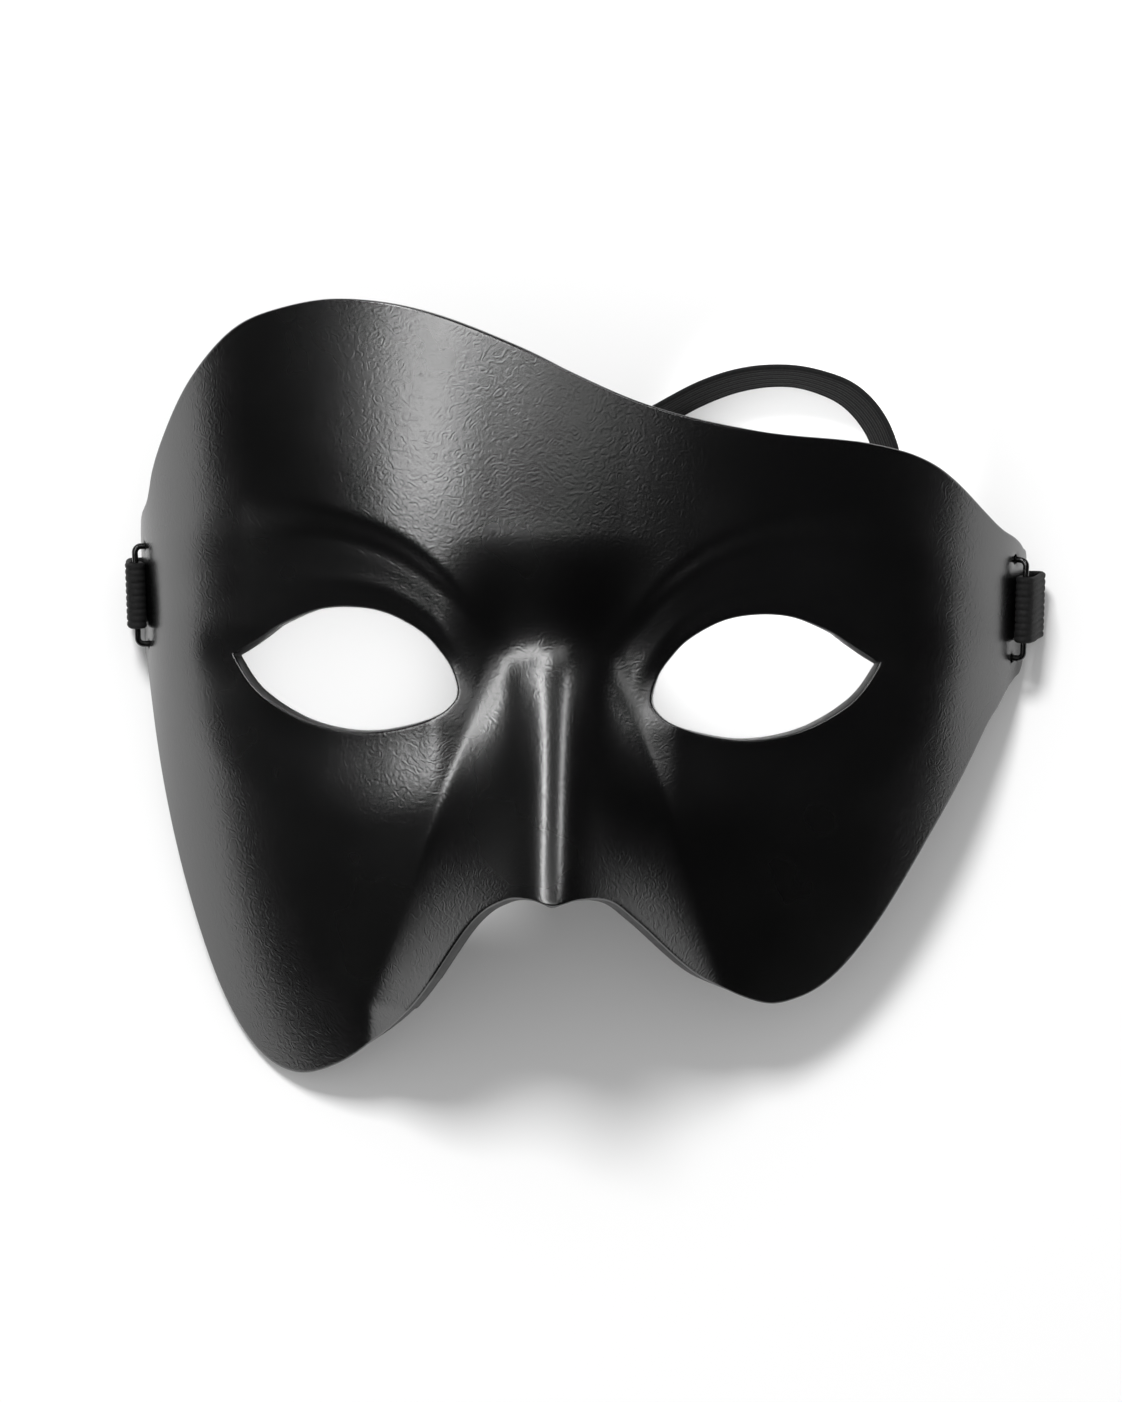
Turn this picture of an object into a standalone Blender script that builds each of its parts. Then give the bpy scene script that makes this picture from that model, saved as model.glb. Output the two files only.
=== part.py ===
# Black masquerade half mask, lying face up as it rests by itself
#
# One moulded shell covers the brow, the nose and both cheeks. A wire loop is
# clipped through two holes in each side tab, and a flat ribbed elastic is folded
# round the outer leg of each loop and runs behind the mask.
# Face frame: X to the right of the face as seen, Y up the brow, Z out of the face,
# with the eye line at Y = 0 and the temples at Z = 0. Lengths are in metres.

import math

import bmesh
import bpy
import numpy as np
from mathutils import Matrix, Vector
from mathutils.geometry import delaunay_2d_cdt

MM = 0.001

# Form of the face
LEFT_HALF = 83.3 * MM         # nose line to the left tab
RIGHT_HALF = 93.8 * MM        # nose line to the right tab
FACE_DEPTH = 58.0 * MM        # temples to the front of the brow
CREST_RISE = 72.0 * MM        # eye line to the crest of the brow edge
LOBE_DROP = 79.9 * MM         # eye line to the tip of the left cheek lobe
LEFT_NARROWING = 0.042        # how fast the left side draws in toward the chin
BROW_LEAN_START = 20.0 * MM   # above this the brow leans back
BROW_LEAN_RADIUS = 650.0 * MM
CHEEK_LEAN_START = -15.0 * MM # below this the cheeks lean back
CHEEK_LEAN_RADIUS = 170.0 * MM
WALL = 2.8 * MM

# Nose
NOSE_TOP = 6.0 * MM           # rise of the root of the nose
NOSE_LENGTH = 46.0 * MM       # root to the cut over the tip
NOSE_OUT = 19.5 * MM          # how far the ridge stands out at the tip
RIDGE_HALF = 0.5 * MM         # half the flat top of the ridge
ROOT_ROUND = 0.20             # share of the length over which the nose begins
RIDGE_ROUND = 0.22            # share of the flank that rounds into the ridge
FLANK_POWER = 1.3             # over one, the flank runs out flatter at its foot
NOSE_ROOT_HALF = 12.5 * MM    # half the width of the nose at its root
NOSE_SPREAD = 15.0 * MM       # what the half width gains toward the tip
ROOT_DIP = 4.5 * MM           # hollow between the brows
ROOT_DIP_START = 30.0 * MM    # rise where that hollow starts
ROOT_DIP_HALF = 24.0 * MM     # half its width

# Eye openings
LEFT_EYE_SPREAD = 41.1 * MM   # nose line to the middle of the left eye
RIGHT_EYE_SPREAD = 40.4 * MM
LEFT_EYE_RISE = 0.7 * MM      # middle of that eye above the eye line
RIGHT_EYE_RISE = 1.0 * MM
LEFT_EYE_TILT = 5.2           # degrees that the outer corner turns up
RIGHT_EYE_TILT = 8.3
EYE_LENGTH = 45.0 * MM
EYE_OVER = 13.3 * MM          # from the line between the corners to the upper edge
EYE_UNDER = 10.2 * MM         # from that line to the lower edge
SOCKET_DEPTH = 3.0 * MM       # deepest part of the relief round the eye
BROW_REACH = 12.8 * MM        # upper edge of the eye to the foot of the brow
BROW_WIDENING = 0.33          # that reach grows outward and shrinks inward by this share
CHEEK_REACH = 17.0 * MM       # from the lower edge of the eye out to the cheek
CHEEK_SINK = 0.34             # share of the socket depth at that edge
TEMPLE_FADE = 0.8             # share of the relief that fades out past the outer corner
NOSE_FADE = 0.8               # and past the inner corner

# Side tabs and wire loops
LEFT_TAB_TURN = 0.955         # share of the quarter turn where the left tab ends
RIGHT_TAB_TURN = 0.885
TAB_LAND = 2.4 * MM           # tab past the centre of each hole
TAB_CORNER = 3.5 * MM         # rounding of the tab corners
LEFT_LOOP_RISE = 10.9 * MM    # middle of the left loop above the eye line
RIGHT_LOOP_RISE = 12.2 * MM
LOOP_HEIGHT = 19.4 * MM       # between the two bars of the loop
LOOP_CORNER = 1.2 * MM
WIRE = 1.2 * MM
HOLE_SETBACK = 7.5 * MM       # tab edge to the holes
FIT_GAP = 0.3 * MM            # between pieces that touch

# Elastic strap
STRAP_WIDTH = 13.0 * MM
STRAP_THICK = 1.1 * MM
FOLD_PLAY = 0.2 * MM          # between the wire and the elastic round it
FOLD_END = 2.4 * MM           # short sewn end past the wire
BEND_RADIUS = 2.4 * MM        # where the elastic turns in under the tab
BEND_PLAY = 0.5 * MM          # between the tab edge and the elastic under it
TUCK = 3.0 * MM               # level stretch past the inside of the tab
STRAP_REACH = 53.8 * MM       # tab line to the far side of the loop
STRAP_STEP = 4.0 * MM

# Mesh spacing
SHELL_STEP = 3.4 * MM
EYE_STEP = 2.6 * MM
EDGE_CLEAR = 0.62             # share of the spacing kept clear along the edges

# Brow edge from the left tab over the crest to the right tab:
# (turn, rise), share of the quarter turn and of the way from tab top to crest
BROW_EDGE = (
    (-0.935, 0.020), (-0.900, 0.078), (-0.840, 0.146), (-0.797, 0.275),
    (-0.732, 0.436), (-0.640, 0.656), (-0.533, 0.857), (-0.440, 0.949),
    (-0.326, 1.000), (-0.200, 0.967), (-0.059, 0.839), (0.106, 0.623),
    (0.259, 0.518), (0.427, 0.465), (0.550, 0.373), (0.677, 0.172),
    (0.740, 0.088), (0.805, 0.037), (0.850, -0.008),
)

# Cheek edge from the right tab round both lobes to the left tab:
# (turn, drop), share of the quarter turn and of the way from tab foot to lobe tip
CHEEK_EDGE = (
    (0.860, 0.010), (0.820, 0.024), (0.785, 0.044), (0.745, 0.085),
    (0.694, 0.145), (0.568, 0.370), (0.464, 0.589), (0.395, 0.710),
    (0.337, 0.763), (0.280, 0.767), (0.196, 0.689), (0.113, 0.537),
    (0.075, 0.476), (0.035, 0.462), (0.000, 0.472), (-0.035, 0.453),
    (-0.075, 0.468), (-0.125, 0.541), (-0.209, 0.756), (-0.283, 0.886),
    (-0.353, 0.965), (-0.430, 1.000), (-0.510, 0.958), (-0.595, 0.825),
    (-0.690, 0.590), (-0.792, 0.308), (-0.868, 0.085), (-0.900, 0.022),
    (-0.935, 0.000),
)

# Eye opening from its outer corner to its inner end:
# (along, over, under), shares of the eye's length and of its two heights
EYE_SHAPE = (
    (0.00, 0.00, 0.00),
    (0.10, 0.30, 0.43),
    (0.20, 0.58, 0.71),
    (0.35, 0.87, 0.93),
    (0.50, 0.99, 1.00),
    (0.65, 0.98, 0.94),
    (0.80, 0.80, 0.73),
    (0.90, 0.55, 0.51),
    (0.965, 0.30, 0.30),
    (1.00, 0.00, 0.00),
)

# (side, spread from the nose line, rise of its middle, tilt of the outer corner)
EYES = (
    (-1, LEFT_EYE_SPREAD, LEFT_EYE_RISE, math.radians(LEFT_EYE_TILT)),
    (1, RIGHT_EYE_SPREAD, RIGHT_EYE_RISE, math.radians(RIGHT_EYE_TILT)),
)

# Relief away from the eye's edge: (out, over, under), share of the reach,
# then share of the socket depth above and below the eye
SOCKET = (
    (0.00, 1.00),
    (0.45, 0.62),
    (0.92, 0.54),
    (1.45, 0.00),
)

# The elastic on the surface, left tab to right tab: (across, reach, raise),
# share of that side's half width, share of the reach, and of a right angle
STRAP_ROUTE = (
    (-0.80, 0.158, 0.42),
    (-0.65, 0.165, 0.62),
    (-0.50, 0.212, 0.74),
    (-0.33, 0.330, 0.82),
    (-0.12, 0.516, 0.88),
    (0.06, 0.697, 0.90),
    (0.192, 0.822, 0.91),
    (0.300, 0.928, 0.92),
    (0.394, 0.985, 0.94),
    (0.488, 0.998, 0.955),
    (0.568, 0.966, 0.93),
    (0.622, 0.915, 0.89),
    (0.665, 0.829, 0.86),
    (0.692, 0.721, 0.84),
    (0.704, 0.600, 0.82),
    (0.712, 0.470, 0.80),
    (0.727, 0.340, 0.76),
    (0.765, 0.227, 0.70),
    (0.820, 0.172, 0.52),
    (0.865, 0.160, 0.34),
)

QUARTER = math.pi / 2
GIRTH = (LEFT_HALF + RIGHT_HALF + 2 * FACE_DEPTH) / 4 * QUARTER
TAB_HALF = LOOP_HEIGHT / 2 + TAB_LAND
LEG_OUT = FIT_GAP + STRAP_THICK + FOLD_PLAY + WIRE / 2
FOLD_RADIUS = WIRE / 2 + FOLD_PLAY + STRAP_THICK / 2


def clear_scene():
    for thing in list(bpy.data.objects):
        bpy.data.objects.remove(thing, do_unlink=True)


def ease(share):
    share = min(1.0, max(0.0, share))
    return share * share * (3 - 2 * share)


def from_table(rows, column, share):
    """Read one column of a table at a share of its first column, eased between rows."""
    if share <= rows[0][0]:
        return rows[0][column]
    for low, high in zip(rows, rows[1:]):
        if share <= high[0]:
            part = ease((share - low[0]) / (high[0] - low[0]))
            return low[column] + part * (high[column] - low[column])
    return rows[-1][column]


def smooth_through(points, closed, steps=12):
    """A smooth curve through points of any dimension."""
    points = [np.array(p, float) for p in points]
    count = len(points)
    spans = count if closed else count - 1
    curve = []
    for i in range(spans):
        if closed:
            four = [points[(i + k) % count] for k in (-1, 0, 1, 2)]
        else:
            four = [points[min(count - 1, max(0, i + k))] for k in (-1, 0, 1, 2)]
        a, b, c, d = four
        for k in range(steps):
            t = k / steps
            curve.append(0.5 * (2 * b + (c - a) * t + (2 * a - 5 * b + 4 * c - d) * t ** 2
                                + (3 * b - a - 3 * c + d) * t ** 3))
    if not closed:
        curve.append(points[-1])
    return curve


def evenly(curve, step, closed, measure=None):
    """The same curve with points a step apart, measured after 'measure' if given."""
    measured = [measure(p) if measure else p for p in curve]
    if closed:
        curve = curve + curve[:1]
        measured = measured + measured[:1]
    run = [0.0]
    for a, b in zip(measured, measured[1:]):
        run.append(run[-1] + float(np.linalg.norm(np.array(b) - np.array(a))))
    count = max(4, round(run[-1] / step))
    stops = [run[-1] * k / count for k in range(count if closed else count + 1)]
    columns = [np.interp(stops, run, [p[k] for p in curve]) for k in range(len(curve[0]))]
    return [np.array(row) for row in zip(*columns)]


def loop_rise(side):
    return LEFT_LOOP_RISE if side < 0 else RIGHT_LOOP_RISE


def tab_turn(side):
    return -LEFT_TAB_TURN if side < 0 else RIGHT_TAB_TURN


def half_width(side, rise):
    if side < 0:
        return LEFT_HALF + LEFT_NARROWING * (rise - LEFT_LOOP_RISE - TAB_HALF)
    return RIGHT_HALF


def lean_back(rise):
    over = max(0.0, rise - BROW_LEAN_START)
    under = max(0.0, CHEEK_LEAN_START - rise)
    return over ** 2 / (2 * BROW_LEAN_RADIUS) + under ** 2 / (2 * CHEEK_LEAN_RADIUS)


def nose_out(x, rise):
    """How far the nose and the hollow over its root move the surface forward."""
    run = (NOSE_TOP - rise) / NOSE_LENGTH
    half = NOSE_ROOT_HALF + NOSE_SPREAD * min(1.5, max(0.0, run))
    off_ridge = min(1.0, max(0.0, (abs(x) - RIDGE_HALF) / (half - RIDGE_HALF)))
    down = math.hypot(off_ridge, RIDGE_ROUND) - RIDGE_ROUND
    down /= math.hypot(1.0, RIDGE_ROUND) - RIDGE_ROUND
    start = (run + math.hypot(run, ROOT_ROUND)) / 2
    ridge = NOSE_OUT * min(1.35, start) * (1 - down) ** FLANK_POWER
    dip = ROOT_DIP * ease((ROOT_DIP_START - rise) / (ROOT_DIP_START - NOSE_TOP))
    dip *= ease(1.5 * (1 - abs(x) / ROOT_DIP_HALF))
    dip *= ease(1 + (rise - NOSE_TOP) / NOSE_LENGTH)
    return ridge - dip


def eye_frame(eye):
    """Middle of an eye and its unit direction toward the outer corner."""
    side, spread, rise, tilt = eye
    middle = np.array((side * spread, rise))
    outward = np.array((side * math.cos(tilt), math.sin(tilt)))
    upward = np.array((-side * math.sin(tilt), math.cos(tilt)))
    return middle, outward, upward


def eye_outline(eye, step):
    """Closed outline of an eye opening across the face, as (x, rise) points."""
    middle, outward, upward = eye_frame(eye)
    over = [(0.5 - along, high * EYE_OVER) for along, high, low in EYE_SHAPE]
    under = [(0.5 - along, -low * EYE_UNDER) for along, high, low in EYE_SHAPE]
    ring = over + under[-2::-1]
    ring = [middle + outward * along * EYE_LENGTH + upward * height for along, height in ring]
    curve = evenly(smooth_through(ring, False), step, False)[:-1]
    return curve if eye[0] < 0 else curve[::-1]


EYE_RINGS = [np.array(eye_outline(eye, EYE_STEP / 2)) for eye in EYES]


def distance_to(ring, point):
    ahead = np.roll(ring, -1, axis=0) - ring
    away = point - ring
    part = np.clip((away * ahead).sum(1) / (ahead ** 2).sum(1), 0, 1)
    return float(np.sqrt(((away - ahead * part[:, None]) ** 2).sum(1)).min())


def socket_depth(x, rise):
    """How far the relief round the eyes sinks the surface."""
    depth = 0.0
    for eye, ring in zip(EYES, EYE_RINGS):
        middle, outward, upward = eye_frame(eye)
        away = np.array((x, rise)) - middle
        along = float(away @ outward) / (EYE_LENGTH / 2)
        across = float(away @ upward)
        off = distance_to(ring, np.array((x, rise)))
        reach = BROW_REACH * (1 + BROW_WIDENING * min(1.0, max(-1.0, along)))
        over = from_table(SOCKET, 1, off / reach)
        under = CHEEK_SINK * ease(1 - off / CHEEK_REACH)
        upper = ease(0.5 + across / EYE_OVER)
        fade = 1 - TEMPLE_FADE * ease((along - 0.9) / 0.8)
        fade -= NOSE_FADE * ease((-along - 0.6) / 0.8)
        depth += SOCKET_DEPTH * fade * (upper * over + (1 - upper) * under)
    return depth


def form_normal(turn, rise):
    angle = turn * QUARTER
    outward = Vector((math.sin(angle) / half_width(turn, rise), 0, math.cos(angle) / FACE_DEPTH))
    return outward.normalized()


def form_point(turn, rise):
    """Point of the outer surface at a share of the quarter turn and a rise."""
    angle = turn * QUARTER
    x = half_width(turn, rise) * math.sin(angle)
    base = Vector((x, rise, FACE_DEPTH * math.cos(angle) - lean_back(rise)))
    base.z += nose_out(x, rise)
    return base - form_normal(turn, rise) * socket_depth(x, rise)


def turn_at(x, rise):
    return math.asin(x / half_width(x, rise)) / QUARTER


def shell_outline():
    """Closed outline of the shell as (turn, rise) points, clockwise from the left tab."""
    brow = []
    for turn, share in BROW_EDGE:
        tab_top = loop_rise(turn) + TAB_HALF
        brow.append((turn, tab_top + share * (CREST_RISE - tab_top)))
    cheek = []
    for turn, share in CHEEK_EDGE:
        tab_foot = loop_rise(turn) - TAB_HALF
        cheek.append((turn, tab_foot - share * (LOBE_DROP + tab_foot)))
    straight = TAB_HALF - TAB_CORNER
    right = [(tab_turn(1), loop_rise(1) + end * straight) for end in (1, -1)]
    left = [(tab_turn(-1), loop_rise(-1) + end * straight) for end in (-1, 1)]
    ring = smooth_through(brow + right + cheek + left, True)
    return evenly(ring, SHELL_STEP, True, lambda p: form_point(p[0], p[1]))


def inside(ring, u, v):
    """Whether a point of the flat sheet lies inside a ring."""
    hit = False
    for (u1, v1), (u2, v2) in zip(ring, ring[1:] + ring[:1]):
        if (v1 > v) != (v2 > v) and u < u1 + (v - v1) / (v2 - v1) * (u2 - u1):
            hit = not hit
    return hit


def flat_sheet():
    """The shell as a flat sheet of triangles, with its outline and eye openings."""
    outline = [(turn * GIRTH, rise) for turn, rise in shell_outline()]
    eyes = []
    for eye in EYES:
        ring = eye_outline(eye, EYE_STEP)
        eyes.append([(turn_at(x, rise) * GIRTH, rise) for x, rise in ring])
    rings = [outline] + eyes
    points = [p for ring in rings for p in ring]
    edges = []
    start = 0
    for ring in rings:
        edges += [(start + k, start + (k + 1) % len(ring)) for k in range(len(ring))]
        start += len(ring)
    edge_points = np.array(points)
    row_step = SHELL_STEP * math.sqrt(3) / 2
    rows = range(-int(LOBE_DROP / row_step), int(CREST_RISE / row_step) + 1)
    across = int(GIRTH / SHELL_STEP) + 1
    for row in rows:
        for column in range(-across, across + 1):
            u = (column + 0.5 * (row % 2)) * SHELL_STEP
            v = row * row_step
            if not inside(outline, u, v) or any(inside(ring, u, v) for ring in eyes):
                continue
            gap = np.hypot(edge_points[:, 0] - u, edge_points[:, 1] - v).min()
            if gap > EDGE_CLEAR * SHELL_STEP:
                points.append((u, v))
    verts, _, faces, _, _, _ = delaunay_2d_cdt([Vector(p) for p in points], edges, [], 0, 1e-7)
    kept = []
    for face in faces:
        u = sum(verts[k][0] for k in face) / len(face)
        v = sum(verts[k][1] for k in face) / len(face)
        if inside(outline, u, v) and not any(inside(ring, u, v) for ring in eyes):
            kept.append(face)
    return [(v[0] / GIRTH, v[1]) for v in verts], kept


def new_object(name, mesh, collection, parent, material=None):
    thing = bpy.data.objects.new(name, mesh)
    collection.objects.link(thing)
    thing.parent = parent
    if material:
        mesh.materials.append(material)
    return thing


def principled(name, colour, roughness, metallic=0.0):
    material = bpy.data.materials.new(name)
    material.use_nodes = True
    shader = material.node_tree.nodes["Principled BSDF"]
    shader.inputs["Base Color"].default_value = (*colour, 1.0)
    shader.inputs["Roughness"].default_value = roughness
    shader.inputs["Metallic"].default_value = metallic
    return material


def tab_frame(side):
    """Middle between the two holes of a tab, with its outward, edgeward and upward directions."""
    rise = loop_rise(side)
    turn = tab_turn(side) - side * HOLE_SETBACK / FACE_DEPTH / QUARTER
    middle = form_point(turn, rise)
    upward = (form_point(turn, rise + TAB_HALF) - form_point(turn, rise - TAB_HALF)).normalized()
    outward = form_normal(turn, rise)
    outward = (outward - upward * outward.dot(upward)).normalized()
    edgeward = upward.cross(outward) * side
    return middle, outward, edgeward, upward


def tab_bottom(side):
    """Lowest point of a tab's end across the width of the elastic."""
    turn = tab_turn(side)
    bottom = []
    for end in (-1, 0, 1):
        rise = loop_rise(side) + end * STRAP_WIDTH / 2
        bottom.append((form_point(turn, rise) - form_normal(turn, rise) * WALL).z)
    return min(bottom)


def make_shell(collection, cutters, face, material):
    points, faces = flat_sheet()
    mesh = bpy.data.meshes.new("mask_shell")
    mesh.from_pydata([form_point(turn, rise) for turn, rise in points], [], faces)
    sheet = bmesh.new()
    sheet.from_mesh(mesh)
    bmesh.ops.delete(sheet, geom=[v for v in sheet.verts if not v.link_faces], context="VERTS")
    if sum(f.normal.z for f in sheet.faces) < 0:
        bmesh.ops.reverse_faces(sheet, faces=sheet.faces)
    sheet.to_mesh(mesh)
    sheet.free()
    mesh.shade_smooth()
    shell = new_object("mask_shell", mesh, collection, face, material)
    wall = shell.modifiers.new("wall", "SOLIDIFY")
    wall.thickness = WALL
    wall.offset = -1
    wall.use_even_offset = True
    wall.use_quality_normals = True
    for side, label in ((-1, "left"), (1, "right")):
        middle, outward, _, upward = tab_frame(side)
        for end, which in ((1, "top"), (-1, "foot")):
            bpy.ops.mesh.primitive_cylinder_add(vertices=12, radius=WIRE / 2 + FIT_GAP,
                                                depth=4 * WALL)
            drill = bpy.context.object
            drill.name = f"drill_{label}_{which}"
            for owner in list(drill.users_collection):
                owner.objects.unlink(drill)
            cutters.objects.link(drill)
            drill.parent = face
            drill.location = middle + upward * end * LOOP_HEIGHT / 2
            drill.rotation_mode = "QUATERNION"
            drill.rotation_quaternion = outward.to_track_quat("Z", "Y")
            drill.hide_render = True
            drill.display_type = "WIRE"
            hole = shell.modifiers.new(drill.name, "BOOLEAN")
            hole.operation = "DIFFERENCE"
            hole.solver = "EXACT"
            hole.object = drill
    return shell


def make_loop(side, label, collection, face, material):
    """Closed wire loop through the two holes of a tab."""
    middle, outward, _, upward = tab_frame(side)
    far = -(WALL + FIT_GAP + WIRE / 2)
    points = []
    for corner, (out, end) in enumerate(((LEG_OUT, 1), (LEG_OUT, -1), (far, -1), (far, 1))):
        centre_out = out - math.copysign(LOOP_CORNER, out)
        centre_up = end * (LOOP_HEIGHT / 2 - LOOP_CORNER)
        for k in range(5):
            angle = QUARTER * (1 - corner - k / 4)
            points.append(middle + outward * (centre_out + LOOP_CORNER * math.cos(angle))
                          + upward * (centre_up + LOOP_CORNER * math.sin(angle)))
    curve = bpy.data.curves.new(f"wire_loop_{label}", "CURVE")
    curve.dimensions = "3D"
    curve.bevel_depth = WIRE / 2
    curve.bevel_resolution = 2
    spline = curve.splines.new("POLY")
    spline.points.add(len(points) - 1)
    for point, place in zip(spline.points, points):
        point.co = (*place, 1)
    spline.use_cyclic_u = True
    return new_object(f"wire_loop_{label}", curve, collection, face, material)


def fold_sections(side):
    """Elastic folded round the loop's leg and turned in under the tab, short end first.

    Each section is its centre and its upward width direction, in the face frame."""
    middle, outward, edgeward, upward = tab_frame(side)
    path = [(LEG_OUT - FOLD_RADIUS, FOLD_END), (LEG_OUT - FOLD_RADIUS, FOLD_END / 2)]
    for k in range(7):
        angle = math.pi * k / 6
        path.append((LEG_OUT - FOLD_RADIUS * math.cos(angle), -FOLD_RADIUS * math.sin(angle)))
    slant = math.atan2(outward.z, abs(outward.x))
    turn_in = QUARTER - slant
    bend_out = LEG_OUT - FOLD_RADIUS + STRAP_THICK + FIT_GAP
    drop = middle.z - tab_bottom(side) + BEND_PLAY + STRAP_THICK / 2
    inner_out = bend_out - BEND_RADIUS * (1 - math.cos(turn_in))
    bend_down = (drop + inner_out * math.sin(slant)) / math.cos(slant)
    bend_down -= BEND_RADIUS * math.sin(turn_in)
    path.append((LEG_OUT + FOLD_RADIUS * 0.86, bend_down * 0.30))
    path.append((bend_out + 0.25 * FOLD_RADIUS, bend_down * 0.68))
    for k in range(5):
        angle = turn_in * k / 4
        path.append((bend_out - BEND_RADIUS + BEND_RADIUS * math.cos(angle),
                     bend_down + BEND_RADIUS * math.sin(angle)))
    sections = [(middle + outward * out + edgeward * down, upward) for out, down in path]
    past_wall = Vector((-side * (WALL + TUCK), 0, 0))
    sections.append((sections[-1][0] + past_wall, upward))
    return sections


def rim_normal(turn, rise):
    small = EYE_STEP / 5
    along = form_point(turn + small / FACE_DEPTH, rise) - form_point(turn - small / FACE_DEPTH, rise)
    up = form_point(turn, rise + small) - form_point(turn, rise - small)
    return along.cross(up).normalized()


def lay_down():
    """Pitch, roll and height that rest the mask on the elastic under its tabs and one lobe."""
    feet = []
    for side in (-1, 1):
        centre, upward = fold_sections(side)[-1]
        feet.append(centre - upward * STRAP_WIDTH / 2 - Vector((0, 0, STRAP_THICK / 2)))
    left, right = feet
    across = (right - left).normalized()
    rim = []
    for turn, rise in shell_outline():
        if rise < -LOBE_DROP / 3:
            rim.append(form_point(turn, rise) - rim_normal(turn, rise) * WALL)
    lobe = min(rim, key=lambda p: math.atan2(p.z - left.z, left.y - p.y))
    floor_normal = across.cross(left - lobe).normalized()
    pitch = math.atan2(floor_normal.y, floor_normal.z)
    roll = -math.asin(floor_normal.x)
    return pitch, roll, -floor_normal.dot(left)


def lying(pitch, roll, height):
    """The matrix from the face frame to the mask as it lies."""
    turned = Matrix.Rotation(roll, 4, "Y") @ Matrix.Rotation(pitch, 4, "X")
    return Matrix.Translation((0, 0, height)) @ turned


def strap_sections(pitch, lay):
    """The whole elastic from its left short end to its right one."""
    ends = []
    for side in (-1, 1):
        fold = []
        for centre, upward in fold_sections(side):
            fold.append((lay @ centre, lay.to_3x3() @ upward))
        ends.append(fold)
    left, right = ends
    route = [(left[-1][0].x, left[-1][0].y, pitch / QUARTER)]
    for across, reach, raised in STRAP_ROUTE:
        half = LEFT_HALF if across < 0 else RIGHT_HALF
        route.append((across * half, reach * STRAP_REACH, raised))
    route.append((right[-1][0].x, right[-1][0].y, pitch / QUARTER))
    curve = evenly(smooth_through(route, False), STRAP_STEP, False, lambda p: p[:2])
    middle = []
    for before, here, after in zip(curve, curve[1:], curve[2:]):
        run = Vector((after[0] - before[0], after[1] - before[1], 0)).normalized()
        outward = Vector((-run.y, run.x, 0))
        raised = here[2] * QUARTER
        width = outward * math.cos(raised) + Vector((0, 0, math.sin(raised)))
        centre = Vector((here[0], here[1], 0))
        centre.z = (STRAP_WIDTH * math.sin(raised) + STRAP_THICK * math.cos(raised)) / 2
        middle.append((centre, width))
    return left + middle + right[::-1]


def make_strap(pitch, lay, collection, ground, material):
    sections = strap_sections(pitch, lay)
    verts = []
    for centre, width in sections:
        verts += [centre - width * STRAP_WIDTH / 2, centre + width * STRAP_WIDTH / 2]
    faces = [(2 * k, 2 * k + 2, 2 * k + 3, 2 * k + 1) for k in range(len(sections) - 1)]
    mesh = bpy.data.meshes.new("elastic_strap")
    mesh.from_pydata(verts, [], faces)
    strap = new_object("elastic_strap", mesh, collection, ground, material)
    body = strap.modifiers.new("thickness", "SOLIDIFY")
    body.thickness = STRAP_THICK
    body.offset = 0
    body.use_even_offset = True
    return strap


def middle_of(things):
    """Middle of the footprint of all the pieces, as they stand."""
    bpy.context.view_layer.update()
    depsgraph = bpy.context.evaluated_depsgraph_get()
    corners = []
    for thing in things:
        solid = thing.evaluated_get(depsgraph)
        mesh = solid.to_mesh()
        corners += [solid.matrix_world @ v.co for v in mesh.vertices]
        solid.to_mesh_clear()
    low = [min(c[k] for c in corners) for k in range(3)]
    high = [max(c[k] for c in corners) for k in range(3)]
    return Vector(((low[0] + high[0]) / 2, (low[1] + high[1]) / 2, low[2]))


def build():
    clear_scene()
    parts = bpy.data.collections.new("masquerade_mask")
    cutters = bpy.data.collections.new("cutters")
    for collection in (parts, cutters):
        bpy.context.scene.collection.children.link(collection)
    moulded = principled("moulded_black", (0.014, 0.014, 0.015), 0.42)
    wire = principled("black_wire", (0.02, 0.02, 0.02), 0.3, 0.6)
    elastic = principled("black_elastic", (0.01, 0.01, 0.011), 0.85)

    ground = bpy.data.objects.new("ground", None)
    parts.objects.link(ground)
    face = bpy.data.objects.new("face", None)
    parts.objects.link(face)
    face.parent = ground
    pitch, roll, height = lay_down()
    face.location = (0, 0, height)
    face.rotation_euler = (pitch, roll, 0)

    things = [make_shell(parts, cutters, face, moulded)]
    for side, label in ((-1, "left"), (1, "right")):
        things.append(make_loop(side, label, parts, face, wire))
    things.append(make_strap(pitch, lying(pitch, roll, height), parts, ground, elastic))
    ground.location = -middle_of(things)
    bpy.context.view_layer.update()


build()
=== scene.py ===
# Black masquerade half mask, lying face up on a pale floor
# Lengths are in metres. The face frame has x to the right of the face as seen,
# rise up the brow from the eye line, and z out of the face from the temples.
import math
import bpy
import numpy as np
from mathutils import Matrix, Vector
from mathutils.geometry import delaunay_2d_cdt


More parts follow.
